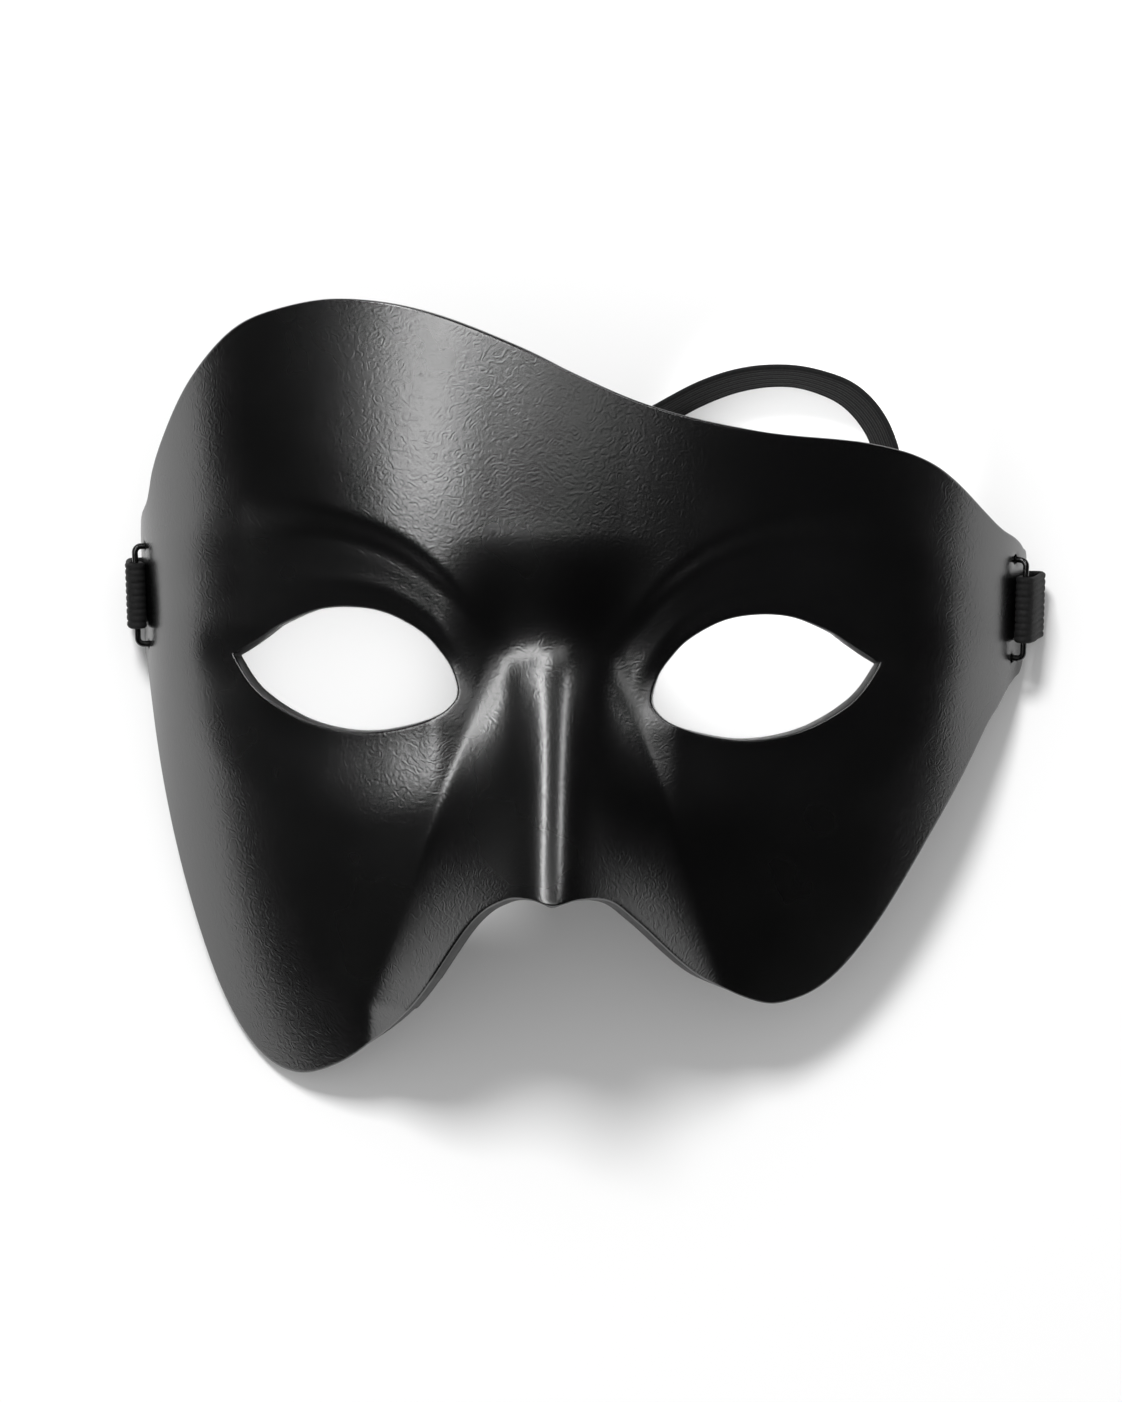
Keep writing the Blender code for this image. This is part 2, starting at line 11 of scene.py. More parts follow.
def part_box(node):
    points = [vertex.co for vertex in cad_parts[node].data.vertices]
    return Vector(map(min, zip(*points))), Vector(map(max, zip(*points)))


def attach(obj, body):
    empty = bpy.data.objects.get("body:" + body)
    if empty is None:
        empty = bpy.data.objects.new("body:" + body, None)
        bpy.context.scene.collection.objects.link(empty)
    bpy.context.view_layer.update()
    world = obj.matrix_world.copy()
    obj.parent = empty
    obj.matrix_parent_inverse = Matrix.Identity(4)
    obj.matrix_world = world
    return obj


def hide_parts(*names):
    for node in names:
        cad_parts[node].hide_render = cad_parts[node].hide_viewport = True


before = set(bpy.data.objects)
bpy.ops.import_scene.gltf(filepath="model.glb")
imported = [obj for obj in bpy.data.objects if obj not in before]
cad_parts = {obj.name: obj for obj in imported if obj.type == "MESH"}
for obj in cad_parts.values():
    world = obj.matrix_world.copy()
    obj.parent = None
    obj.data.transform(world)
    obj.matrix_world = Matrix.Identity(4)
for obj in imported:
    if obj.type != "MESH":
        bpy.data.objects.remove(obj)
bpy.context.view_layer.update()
mm = 0.001
quarter = math.pi / 2
print("frame loaded")

# The form of the face, the same as the solid's
face = {
    "leftHalf": 83.3 * mm, "rightHalf": 93.8 * mm, "depth": 58.0 * mm,
    "crestRise": 72.0 * mm, "lobeDrop": 79.9 * mm, "leftNarrowing": 0.042,
    "browLeanStart": 20.0 * mm, "browLeanRadius": 650.0 * mm,
    "cheekLeanStart": -15.0 * mm, "cheekLeanRadius": 170.0 * mm,
    "wall": 2.8 * mm,
}
nose = {
    "top": 6.0 * mm, "length": 46.0 * mm, "out": 19.5 * mm,
    "rootHalf": 12.5 * mm, "spread": 15.0 * mm, "ridgeHalf": 0.5 * mm,
    "ridgeRound": 0.22,         # share of the flank that rounds into the ridge
    "rootRound": 0.20,          # share of the length over which the nose begins
    "flankPower": 1.3,          # over one, the flank runs out flatter at its foot
    "spreadEnd": 1.5,           # in lengths from the top, where the widening stops
    "outEnd": 1.35,             # and where the rise stops
    # the hollow between the brows
    "dip": 4.5 * mm, "dipStart": 30.0 * mm, "dipHalf": 24.0 * mm, "dipFlatness": 1.5,
}
eye = {
    "length": 45.0 * mm, "over": 13.3 * mm, "under": 10.2 * mm,
    "socketDepth": 3.0 * mm, "browReach": 12.8 * mm, "browWidening": 0.33,
    "cheekReach": 17.0 * mm, "cheekSink": 0.34,
    # side, spread from the nose line, rise of its middle, tilt of the outer corner
    "pair": ((-1, 41.1 * mm, 0.7 * mm, 5.2), (1, 40.4 * mm, 1.0 * mm, 8.3)),
    # along from the outer corner, share of the height over and under
    "shape": ((0.00, 0.00, 0.00), (0.10, 0.30, 0.43), (0.20, 0.58, 0.71),
              (0.35, 0.87, 0.93), (0.50, 0.99, 1.00), (0.65, 0.98, 0.94),
              (0.80, 0.80, 0.73), (0.90, 0.55, 0.51), (0.965, 0.30, 0.30),
              (1.00, 0.00, 0.00)),
    # out from the upper edge, share of the socket depth
    "relief": ((0.00, 1.00), (0.45, 0.62), (0.92, 0.54), (1.45, 0.00)),
    # shares of the relief that fade out past the outer and the inner corner
    "templeFade": 0.8, "noseFade": 0.8,
    "templeStart": 0.9, "noseStart": 0.6, "fadeRun": 0.8,   # in half lengths
    "ringStep": 1.0 * mm,       # of the outline that distances are taken from
}
tab = {
    "leftTurn": 0.955, "rightTurn": 0.885,      # where each tab ends
    "leftRise": 10.9 * mm, "rightRise": 12.2 * mm,      # middle of each loop
    "land": 2.4 * mm, "corner": 3.5 * mm, "setback": 7.5 * mm, "loopHeight": 19.4 * mm,
}
tab["half"] = tab["loopHeight"] / 2 + tab["land"]
# Edge of the shell: turn as a share of the quarter turn, then the share of the
# way from the tab to the crest, or to the tip of the lobe
browEdge = (
    (-0.935, 0.020), (-0.900, 0.078), (-0.840, 0.146), (-0.797, 0.275),
    (-0.732, 0.436), (-0.640, 0.656), (-0.533, 0.857), (-0.440, 0.949),
    (-0.326, 1.000), (-0.200, 0.967), (-0.059, 0.839), (0.106, 0.623),
    (0.259, 0.518), (0.427, 0.465), (0.550, 0.373), (0.677, 0.172),
    (0.740, 0.088), (0.805, 0.037), (0.850, -0.008),
)
cheekEdge = (
    (0.860, 0.010), (0.820, 0.024), (0.785, 0.044), (0.745, 0.085),
    (0.694, 0.145), (0.568, 0.370), (0.464, 0.589), (0.395, 0.710),
    (0.337, 0.763), (0.280, 0.767), (0.196, 0.689), (0.113, 0.537),
    (0.075, 0.476), (0.035, 0.462), (0.000, 0.472), (-0.035, 0.453),
    (-0.075, 0.468), (-0.125, 0.541), (-0.209, 0.756), (-0.283, 0.886),
    (-0.353, 0.965), (-0.430, 1.000), (-0.510, 0.958), (-0.595, 0.825),
    (-0.690, 0.590), (-0.792, 0.308), (-0.868, 0.085), (-0.900, 0.022),
    (-0.935, 0.000),
)
shellLook = {
    "step": 1.05 * mm,          # mesh spacing over the face
    "edgeStep": 0.8 * mm,       # and along its edges
    "outerRound": 0.42 * mm,    # rounding of the cut edge at the face
    "innerRound": 0.30 * mm,
    "rimRings": (0.10, 0.30, 0.62, 1.0, 1.9),   # shares of the outer rounding
    "holeRings": 3,             # how many of them the small holes get
    "holeSides": 24,
    "eyeStepShare": 0.7,        # of the edge step, round the eyes
    "edgeClear": 0.6,           # share of the step kept clear along the edges
    "colour": (0.0014, 0.0014, 0.0015),
    "toneRange": (0.8, 1.3),    # of the colour over the face
    "roughRange": (-0.02, 0.03),
    "toneSize": 26 * mm,
    "roughness": 0.25,
    "shine": 2.0,               # index of refraction
    "grainSize": 1.7 * mm,      # how far the lines of the grain wander
    "grainLines": 4.2,
    "breakSize": 1.1 * mm,      # of the patches where the lines break off
    "fineSize": 0.3 * mm,
    "fineShare": 0.5,
    "grainDepth": 0.006 * mm,
}
wireLook = {
    "thick": 1.2 * mm, "corner": 1.2 * mm, "gap": 0.3 * mm, "sides": 20,
    "step": 0.8 * mm, "cornerSteps": 8,
}
elastic = {
    "width": 13.0 * mm, "thick": 1.1 * mm, "play": 0.2 * mm, "foldEnd": 2.4 * mm,
    "bendRadius": 2.4 * mm, "bendPlay": 0.5 * mm, "tuck": 3.0 * mm, "reach": 53.8 * mm,
    "ribs": 10, "ribDepth": 0.17 * mm, "ribPoints": 6, "step": 1.0 * mm,
    "deepRib": 1.35, "shallowRib": 0.8, "ribPower": 0.7, "leastOut": 0.12,
    # where the fold swings out to the tab's bend: shares of its radius and of the way
    "swing": ((0.86, 0.30), (0.25, 0.68)),
    "foldSteps": 12, "bendSteps": 8, "tuckStops": (0.33, 0.66, 1.0),
    # across the half width, share of the reach, share of a right angle
    "route": ((-0.80, 0.158, 0.42), (-0.65, 0.165, 0.62), (-0.50, 0.212, 0.74),
              (-0.33, 0.330, 0.82), (-0.12, 0.516, 0.88), (0.06, 0.697, 0.90),
              (0.192, 0.822, 0.91), (0.300, 0.928, 0.92), (0.394, 0.985, 0.94),
              (0.488, 0.998, 0.955), (0.568, 0.966, 0.93), (0.622, 0.915, 0.89),
              (0.665, 0.829, 0.86), (0.692, 0.721, 0.84), (0.704, 0.600, 0.82),
              (0.712, 0.470, 0.80), (0.727, 0.340, 0.76), (0.765, 0.227, 0.70),
              (0.820, 0.172, 0.52), (0.865, 0.160, 0.34)),
}
legOut = wireLook["gap"] + elastic["thick"] + elastic["play"] + wireLook["thick"] / 2
foldRadius = wireLook["thick"] / 2 + elastic["play"] + elastic["thick"] / 2


def ease(share):
    share = np.clip(share, 0, 1)
    return share * share * (3 - 2 * share)


def readRows(rows, column, share):
    # one column of a table, eased from row to row
    stops = [row[0] for row in rows]
    values = np.array([row[column] for row in rows])
    share = np.clip(share, stops[0], stops[-1])
    low = np.clip(np.searchsorted(stops, share, side="right") - 1, 0, len(rows) - 2)
    starts = np.array(stops)
    part = ease((share - starts[low]) / (starts[low + 1] - starts[low]))
    return values[low] + part * (values[low + 1] - values[low])


def smoothThrough(points, closed, steps=12):
    points = [np.array(p, float) for p in points]
    count = len(points)
    curve = []
    for i in range(count if closed else count - 1):
        if closed:
            a, b, c, d = [points[(i + k) % count] for k in (-1, 0, 1, 2)]
        else:
            a, b, c, d = [points[min(count - 1, max(0, i + k))] for k in (-1, 0, 1, 2)]
        for k in range(steps):
            t = k / steps
            curve.append(0.5 * (2 * b + (c - a) * t + (2 * a - 5 * b + 4 * c - d) * t ** 2
                                + (3 * b - a - 3 * c + d) * t ** 3))
    if not closed:
        curve.append(points[-1])
    return np.array(curve)


def evenly(curve, step, closed, measured=None):
    # the same curve with points a step apart, counted along 'measured'
    measured = curve if measured is None else measured
    if closed:
        curve = np.vstack([curve, curve[:1]])
        measured = np.vstack([measured, measured[:1]])
    run = np.concatenate([[0], np.cumsum(np.linalg.norm(np.diff(measured, axis=0), axis=1))])
    count = max(4, round(run[-1] / step))
    stops = np.linspace(0, run[-1], count + 1)
    if closed:
        stops = stops[:-1]
    return np.stack([np.interp(stops, run, column) for column in curve.T], axis=1)


def tabTurn(side):
    return -tab["leftTurn"] if side < 0 else tab["rightTurn"]


def loopRise(side):
    return tab["leftRise"] if side < 0 else tab["rightRise"]


def halfWidth(turn, rise):
    left = face["leftHalf"] + face["leftNarrowing"] * (rise - tab["leftRise"] - tab["half"])
    return np.where(turn < 0, left, face["rightHalf"])


def leanBack(rise):
    over = np.maximum(0, rise - face["browLeanStart"])
    under = np.maximum(0, face["cheekLeanStart"] - rise)
    return over ** 2 / (2 * face["browLeanRadius"]) + under ** 2 / (2 * face["cheekLeanRadius"])


def noseOut(x, rise):
    run = (nose["top"] - rise) / nose["length"]
    half = nose["rootHalf"] + nose["spread"] * np.clip(run, 0, nose["spreadEnd"])
    offRidge = np.clip((np.abs(x) - nose["ridgeHalf"]) / (half - nose["ridgeHalf"]), 0, 1)
    down = np.hypot(offRidge, nose["ridgeRound"]) - nose["ridgeRound"]
    down = down / (math.hypot(1, nose["ridgeRound"]) - nose["ridgeRound"])
    start = (run + np.hypot(run, nose["rootRound"])) / 2
    ridge = nose["out"] * np.minimum(start, nose["outEnd"]) * (1 - down) ** nose["flankPower"]
    dip = nose["dip"] * ease((nose["dipStart"] - rise) / (nose["dipStart"] - nose["top"]))
    dip = dip * ease(nose["dipFlatness"] * (1 - np.abs(x) / nose["dipHalf"]))
    return ridge - dip * ease(1 + (rise - nose["top"]) / nose["length"])


def eyeFrame(side, spread, rise, tilt):
    tilt = math.radians(tilt)
    middle = np.array((side * spread, rise))
    outward = np.array((side * math.cos(tilt), math.sin(tilt)))
    upward = np.array((-side * math.sin(tilt), math.cos(tilt)))
    return middle, outward, upward


def eyeOutline(one, step):
    middle, outward, upward = eyeFrame(*one)
    over = [(0.5 - along, high * eye["over"]) for along, high, low in eye["shape"]]
    under = [(0.5 - along, -low * eye["under"]) for along, high, low in eye["shape"]]
    ring = [middle + outward * along * eye["length"] + upward * height
            for along, height in over + under[-2::-1]]
    curve = evenly(smoothThrough(ring, False), step, False)[:-1]
    return curve if one[0] < 0 else curve[::-1]


eyeRings = [eyeOutline(one, eye["ringStep"]) for one in eye["pair"]]


def distanceTo(ring, points):
    ahead = np.roll(ring, -1, axis=0) - ring
    away = points[:, None, :] - ring[None]
    part = np.clip((away * ahead).sum(2) / (ahead ** 2).sum(1), 0, 1)
    return np.sqrt(((away - ahead * part[:, :, None]) ** 2).sum(2)).min(1)


def socketDepth(x, rise):
    depth = np.zeros(len(x))
    points = np.stack([x, rise], axis=1)
    for one, ring in zip(eye["pair"], eyeRings):
        middle, outward, upward = eyeFrame(*one)
        away = points - middle
        along = away @ outward / (eye["length"] / 2)
        across = away @ upward
        off = distanceTo(ring, points)
        reach = eye["browReach"] * (1 + eye["browWidening"] * np.clip(along, -1, 1))
        upper = ease(0.5 + across / eye["over"])
        fade = 1 - eye["templeFade"] * ease((along - eye["templeStart"]) / eye["fadeRun"])
        fade -= eye["noseFade"] * ease((-along - eye["noseStart"]) / eye["fadeRun"])
        over = readRows(eye["relief"], 1, off / reach)
        under = eye["cheekSink"] * ease(1 - off / eye["cheekReach"])
        depth += eye["socketDepth"] * fade * (upper * over + (1 - upper) * under)
    return depth


def wrapNormal(turn, rise):
    angle = turn * quarter
    n = np.stack([np.sin(angle) / halfWidth(turn, rise), 0 * turn,
                  np.cos(angle) / face["depth"]], axis=1)
    return n / np.linalg.norm(n, axis=1)[:, None]


def formPoints(turn, rise):
    turn = np.atleast_1d(np.array(turn, float))
    rise = np.atleast_1d(np.array(rise, float))
    angle = turn * quarter
    x = halfWidth(turn, rise) * np.sin(angle)
    z = face["depth"] * np.cos(angle) - leanBack(rise) + noseOut(x, rise)
    sunk = wrapNormal(turn, rise) * socketDepth(x, rise)[:, None]
    return np.stack([x, rise, z], axis=1) - sunk


def formNormals(turn, rise):
    small = 0.15 * mm
    aside = small / face["depth"]
    along = formPoints(turn + aside, rise) - formPoints(turn - aside, rise)
    up = formPoints(turn, rise + small) - formPoints(turn, rise - small)
    n = np.cross(along, up)
    return n / np.linalg.norm(n, axis=1)[:, None]


def shellOutline(step):
    brow, cheek = [], []
    for turn, share in browEdge:
        top = loopRise(turn) + tab["half"]
        brow.append((turn, top + share * (face["crestRise"] - top)))
    for turn, share in cheekEdge:
        foot = loopRise(turn) - tab["half"]
        cheek.append((turn, foot - share * (face["lobeDrop"] + foot)))
    straight = tab["half"] - tab["corner"]
    right = [(tabTurn(1), loopRise(1) + end * straight) for end in (1, -1)]
    left = [(tabTurn(-1), loopRise(-1) + end * straight) for end in (-1, 1)]
    ring = smoothThrough(brow + right + cheek + left, True)
    return evenly(ring, step, True, formPoints(ring[:, 0], ring[:, 1]))


def holeTurn(side):
    return tabTurn(side) - side * tab["setback"] / face["depth"] / quarter


def tabFrame(side):
    # middle between the holes of a tab, and the directions outward, edgeward and upward
    turn, rise = holeTurn(side), loopRise(side)
    middle = Vector(formPoints(turn, rise)[0])
    upward = formPoints(turn, rise + tab["half"])[0] - formPoints(turn, rise - tab["half"])[0]
    upward = Vector(upward).normalized()
    outward = Vector(wrapNormal(np.array([turn]), np.array([rise]))[0])
    outward = (outward - upward * outward.dot(upward)).normalized()
    return middle, outward, upward.cross(outward) * side, upward


def tabBottom(side):
    # lowest point of a tab's end across the width of the elastic
    turn = np.full(3, tabTurn(side))
    rise = loopRise(side) + np.array([-1, 0, 1]) * elastic["width"] / 2
    return float((formPoints(turn, rise) - wrapNormal(turn, rise) * face["wall"])[:, 2].min())


def foldSections(side):
    # the elastic round the leg of the loop and in under the tab, short end first
    middle, outward, edgeward, upward = tabFrame(side)
    path = [(legOut - foldRadius, elastic["foldEnd"] * k) for k in (1, 0.75, 0.5, 0.25)]
    for k in range(elastic["foldSteps"] + 1):
        angle = math.pi * k / elastic["foldSteps"]
        path.append((legOut - foldRadius * math.cos(angle), -foldRadius * math.sin(angle)))
    slant = math.atan2(outward.z, abs(outward.x))
    turnIn = quarter - slant
    radius = elastic["bendRadius"]
    bendOut = legOut - foldRadius + elastic["thick"] + wireLook["gap"]
    drop = middle.z - tabBottom(side) + elastic["bendPlay"] + elastic["thick"] / 2
    innerOut = bendOut - radius * (1 - math.cos(turnIn))
    bendDown = (drop + innerOut * math.sin(slant)) / math.cos(slant) - radius * math.sin(turnIn)
    for start, (wide, way) in zip((legOut, bendOut), elastic["swing"]):
        path.append((start + foldRadius * wide, bendDown * way))
    for k in range(elastic["bendSteps"] + 1):
        angle = turnIn * k / elastic["bendSteps"]
        path.append((bendOut - radius + radius * math.cos(angle),
                     bendDown + radius * math.sin(angle)))
    sections = [(middle + outward * out + edgeward * down, upward) for out, down in path]
    start = sections[-1][0]
    inward = Vector((-side * (face["wall"] + elastic["tuck"]), 0, 0))
    sections += [(start + inward * share, upward) for share in elastic["tuckStops"]]
    return sections


def layDown():
    # pitch, roll and height of the mask on the elastic under its tabs and on one lobe
    feet = []
    for side in (-1, 1):
        centre, upward = foldSections(side)[-1]
        under = Vector((0, 0, elastic["thick"] / 2))
        feet.append(centre - upward * elastic["width"] / 2 - under)
    left, right = feet
    across = (right - left).normalized()
    ring = shellOutline(1.0 * mm)
    ring = ring[ring[:, 1] < -face["lobeDrop"] / 3]
    rim = formPoints(*ring.T) - formNormals(*ring.T) * face["wall"]
    lobe = Vector(rim[np.arctan2(rim[:, 2] - left.z, left.y - rim[:, 1]).argmin()])
    up = across.cross(left - lobe).normalized()
    return math.atan2(up.y, up.z), -math.asin(up.x), -up.dot(left)


pitch, roll, lift = layDown()
layMatrix = Matrix.Rotation(roll, 4, "Y") @ Matrix.Rotation(pitch, 4, "X")
layMatrix = Matrix.Translation((0, 0, lift)) @ layMatrix
print("mask laid down at", round(math.degrees(pitch), 2), "degrees")


def arcTable(half):
    # turn against the length along the wrap
    turns = np.linspace(0, 1, 200)
    angle = (turns[1:] + turns[:-1]) / 2 * quarter
    pace = np.hypot(half * np.cos(angle), face["depth"] * np.sin(angle)) * quarter
    return turns, np.concatenate([[0], np.cumsum(pace * np.diff(turns))])


arcTables = {-1: arcTable(face["leftHalf"]), 1: arcTable(face["rightHalf"])}


def toFlat(points):
    turns = points[:, 0]
    left, right = np.interp(-turns, *arcTables[-1]), np.interp(turns, *arcTables[1])
    return np.stack([np.where(turns < 0, -left, right), points[:, 1]], axis=1)


def fromFlat(points):
    flat = points[:, 0]
    left = np.interp(-flat, *arcTables[-1][::-1])
    right = np.interp(flat, *arcTables[1][::-1])
    return np.stack([np.where(flat < 0, -left, right), points[:, 1]], axis=1)


def insideRing(ring, points):
    hit = np.zeros(len(points), bool)
    u, v = points[:, 0], points[:, 1]
    for (u1, v1), (u2, v2) in zip(ring, np.roll(ring, -1, axis=0)):
        if v1 == v2:
            continue
        cross = (v1 > v) != (v2 > v)
        hit ^= cross & (u < u1 + (v - v1) / (v2 - v1) * (u2 - u1))
    return hit


def offsetRing(ring, distance):
    # the ring moved into the material by a distance on the formed surface
    turns = fromFlat(ring)
    small = 0.2 * mm
    here = formPoints(turns[:, 0], turns[:, 1])
    aside = fromFlat(ring + (small, 0))
    above = fromFlat(ring + (0, small))
    paceU = np.linalg.norm(formPoints(aside[:, 0], aside[:, 1]) - here, axis=1) / small
    paceV = np.linalg.norm(formPoints(above[:, 0], above[:, 1]) - here, axis=1) / small
    pace = np.stack([paceU, paceV], axis=1)
    along = (np.roll(ring, -1, axis=0) - np.roll(ring, 1, axis=0)) * pace
    along /= np.linalg.norm(along, axis=1)[:, None]
    into = np.stack([-along[:, 1], along[:, 0]], axis=1)
    return ring + into * distance / pace


def area(ring):
    u, v = ring[:, 0], ring[:, 1]
    return 0.5 * float((u * np.roll(v, -1) - np.roll(u, -1) * v).sum())


def turnAt(x, rise):
    side = np.where(x < 0, -1.0, 1.0)
    return np.arcsin(x / halfWidth(side, rise)) / quarter


def holeRing(side, end):
    rise = loopRise(side) + end * tab["loopHeight"] / 2
    middle = toFlat(np.array([[holeTurn(side), rise]]))[0]
    radius = wireLook["thick"] / 2 + wireLook["gap"]
    angles = np.linspace(0, 2 * math.pi, shellLook["holeSides"], endpoint=False)
    return middle + radius * np.stack([np.cos(angles), np.sin(angles)], axis=1)


def shellBorders():
    # the outline first, then the eyes and the small holes, which run the other way
    outline = toFlat(shellOutline(shellLook["edgeStep"]))
    rings = []
    for one in eye["pair"]:
        ring = eyeOutline(one, shellLook["edgeStep"] * shellLook["eyeStepShare"])
        rings.append(toFlat(np.stack([turnAt(ring[:, 0], ring[:, 1]), ring[:, 1]], axis=1)))
    rings += [holeRing(side, end) for side in (-1, 1) for end in (-1, 1)]
    borders = [outline if area(outline) > 0 else outline[::-1]]
    return borders + [ring if area(ring) < 0 else ring[::-1] for ring in rings]


def rimPoints(borders):
    # rings of points along each border, their distance from it, edges and first loops
    points, off, edges, loops = [], [], [], []
    large = 1 + len(eye["pair"])
    for which, border in enumerate(borders):
        rings = shellLook["rimRings"]
        for share in (0,) + (rings if which < large else rings[:shellLook["holeRings"]]):
            distance = share * shellLook["outerRound"]
            ring = offsetRing(border, distance) if share else border
            loop = [len(points) + k for k in range(len(ring))]
            points += list(ring)
            off += [distance] * len(ring)
            edges += list(zip(loop, loop[1:] + loop[:1]))
            if not share:
                loops.append(loop)
    return np.array(points), off, edges, loops


def inMaterial(borders, points):
    inside = insideRing(borders[0], points)
    for hole in borders[1:]:
        inside &= ~insideRing(hole, points)
    return inside


def facePoints(borders, known):
    # an even grid over the material, clear of the points along its edges
    step = shellLook["step"]
    rowStep = step * math.sqrt(3) / 2
    rows = np.arange(-int(face["lobeDrop"] / rowStep) - 1, int(face["crestRise"] / rowStep) + 2)
    reach = int(arcTables[1][1][-1] / step) + 1
    columns = np.arange(-reach, reach + 1)
    grid = np.array([((c + 0.5 * (r % 2)) * step, r * rowStep) for r in rows for c in columns])
    grid = grid[inMaterial(borders, grid)]
    clear, batch = [], 4000
    for start in range(0, len(grid), batch):
        away = grid[start:start + batch, None] - known[None]
        clear.append(np.hypot(away[:, :, 0], away[:, :, 1]).min(1))
    return grid[np.concatenate(clear) > shellLook["edgeClear"] * step]


def makeShellMesh():
    borders = shellBorders()
    known, off, edges, loops = rimPoints(borders)
    grid = facePoints(borders, known)
    farOff = 9.0
    off = np.concatenate([off, np.full(len(grid), farOff)])
    points = [Vector(p) for p in np.vstack([known, grid])]
    verts, _, faces, origins, _, _ = delaunay_2d_cdt(points, edges, [], 0, 1e-9)
    flat = np.array([tuple(v) for v in verts])
    away = np.array([off[which[0]] if which else farOff for which in origins])
    good = inMaterial(borders, np.array([flat[list(f)].mean(0) for f in faces]))
    faces = [f for f, ok in zip(faces, good) if ok]
    turns = fromFlat(flat)
    base = formPoints(*turns.T)
    normals = formNormals(*turns.T)
    outer = base - normals * roundDrop(away, shellLook["outerRound"])[:, None]
    innerDrop = roundDrop(away, shellLook["innerRound"])
    inner = base - normals * (face["wall"] - innerDrop)[:, None]
    count = len(flat)
    back = {tuple(which)[0]: k for k, which in enumerate(origins) if which}
    allFaces = [tuple(f) for f in faces] + [tuple(k + count for k in f[::-1]) for f in faces]
    kinds = [0] * len(faces) + [1] * len(faces)
    for loop in loops:
        loop = [back[k] for k in loop]
        for a, b in zip(loop, loop[1:] + loop[:1]):
            allFaces.append((b, a, a + count, b + count))
            kinds.append(2)
    return np.vstack([outer, inner]), allFaces, kinds


def roundDrop(away, radius):
    inset = np.clip(radius - away, 0, radius)
    return radius - np.sqrt(np.maximum(0, radius ** 2 - inset ** 2))


def meshObject(name, verts, faces, materials, kinds=None):
    mesh = bpy.data.meshes.new(name)
    mesh.from_pydata([tuple(v) for v in verts], [], faces)
    for material in materials:
        mesh.materials.append(material)
    if kinds:
        mesh.polygons.foreach_set("material_index", kinds)
    mesh.shade_smooth()
    mesh.validate()
    thing = bpy.data.objects.new(name, mesh)
    bpy.context.scene.collection.objects.link(thing)
    return thing


# Materials

def newMaterial(name):
    material = bpy.data.materials.new(name)
    material.use_nodes = True
    return material, material.node_tree, material.node_tree.nodes["Principled BSDF"]


def addNode(tree, kind, values=(), **settings):
    node = tree.nodes.new(kind)
    for key, value in settings.items():
        setattr(node, key, value)
    for key, value in dict(values).items():
        node.inputs[key].default_value = value
    return node


def mathNode(tree, operation, first, second=None):
    node = addNode(tree, "ShaderNodeMath", operation=operation)
    tree.links.new(first, node.inputs[0])
    if isinstance(second, (int, float)):
        node.inputs[1].default_value = second
    elif second is not None:
        tree.links.new(second, node.inputs[1])
    return node.outputs[0]


def mappedRange(tree, value, low, high, toLow=0.0, toHigh=1.0):
    node = addNode(tree, "ShaderNodeMapRange", interpolation_type="SMOOTHSTEP")
    for key, number in zip((1, 2, 3, 4), (low, high, toLow, toHigh)):
        node.inputs[key].default_value = number
    tree.links.new(value, node.inputs[0])
    return node.outputs[0]


def mouldedMaterial():
    # embossed grain of short, curved, broken lines
    look = shellLook
    material, tree, shader = newMaterial("mouldedBlack")
    place = addNode(tree, "ShaderNodeTexCoord").outputs["Object"]

    def noise(size, detail):
        node = addNode(tree, "ShaderNodeTexNoise", {"Scale": 1 / size, "Detail": detail})
        tree.links.new(place, node.inputs["Vector"])
        return node.outputs["Fac"]

    wander = noise(look["grainSize"], 0.6)
    lines = mathNode(tree, "SINE", mathNode(tree, "MULTIPLY", wander,
                                            2 * math.pi * look["grainLines"]))
    broken = mappedRange(tree, noise(look["breakSize"], 1.0), 0.38, 0.56, 0.1, 1.0)
    strokes = mathNode(tree, "MULTIPLY", lines, broken)
    fine = mathNode(tree, "MULTIPLY", noise(look["fineSize"], 2.0), look["fineShare"])
    height = mathNode(tree, "ADD", strokes, fine)
    bump = addNode(tree, "ShaderNodeBump", {"Strength": 1.0, "Distance": look["grainDepth"]})
    tree.links.new(height, bump.inputs["Height"])
    tree.links.new(bump.outputs["Normal"], shader.inputs["Normal"])
    cloud = noise(look["toneSize"], 3.0)
    least, most = [look["roughness"] + change for change in look["roughRange"]]
    rough = mappedRange(tree, cloud, 0.3, 0.7, least, most)
    tree.links.new(rough, shader.inputs["Roughness"])
    shader.inputs["IOR"].default_value = look["shine"]
    tone = addNode(tree, "ShaderNodeMix", data_type="RGBA")
    for socket, share in zip("AB", look["toneRange"]):
        tone.inputs[socket].default_value = (*[c * share for c in look["colour"]], 1)
    tree.links.new(cloud, tone.inputs["Factor"])
    tree.links.new(tone.outputs["Result"], shader.inputs["Base Color"])
    return material


def plainBlack(name, colour, roughness, noiseScale, depth, coat=0.0):
    material, tree, shader = newMaterial(name)
    place = addNode(tree, "ShaderNodeTexCoord").outputs["Object"]
    grain = addNode(tree, "ShaderNodeTexNoise", {"Scale": noiseScale, "Detail": 3.0})
    tree.links.new(place, grain.inputs["Vector"])
    bump = addNode(tree, "ShaderNodeBump", {"Strength": 0.6, "Distance": depth})
    tree.links.new(grain.outputs["Fac"], bump.inputs["Height"])
    tree.links.new(bump.outputs["Normal"], shader.inputs["Normal"])
    spread = 0.05
    rough = mappedRange(tree, grain.outputs["Fac"], 0.3, 0.7, roughness - spread,
                        roughness + spread)
    tree.links.new(rough, shader.inputs["Roughness"])
    shader.inputs["Base Color"].default_value = (*colour, 1)
    shader.inputs["Coat Weight"].default_value = coat
    shader.inputs["Coat Roughness"].default_value = 0.15
    return material


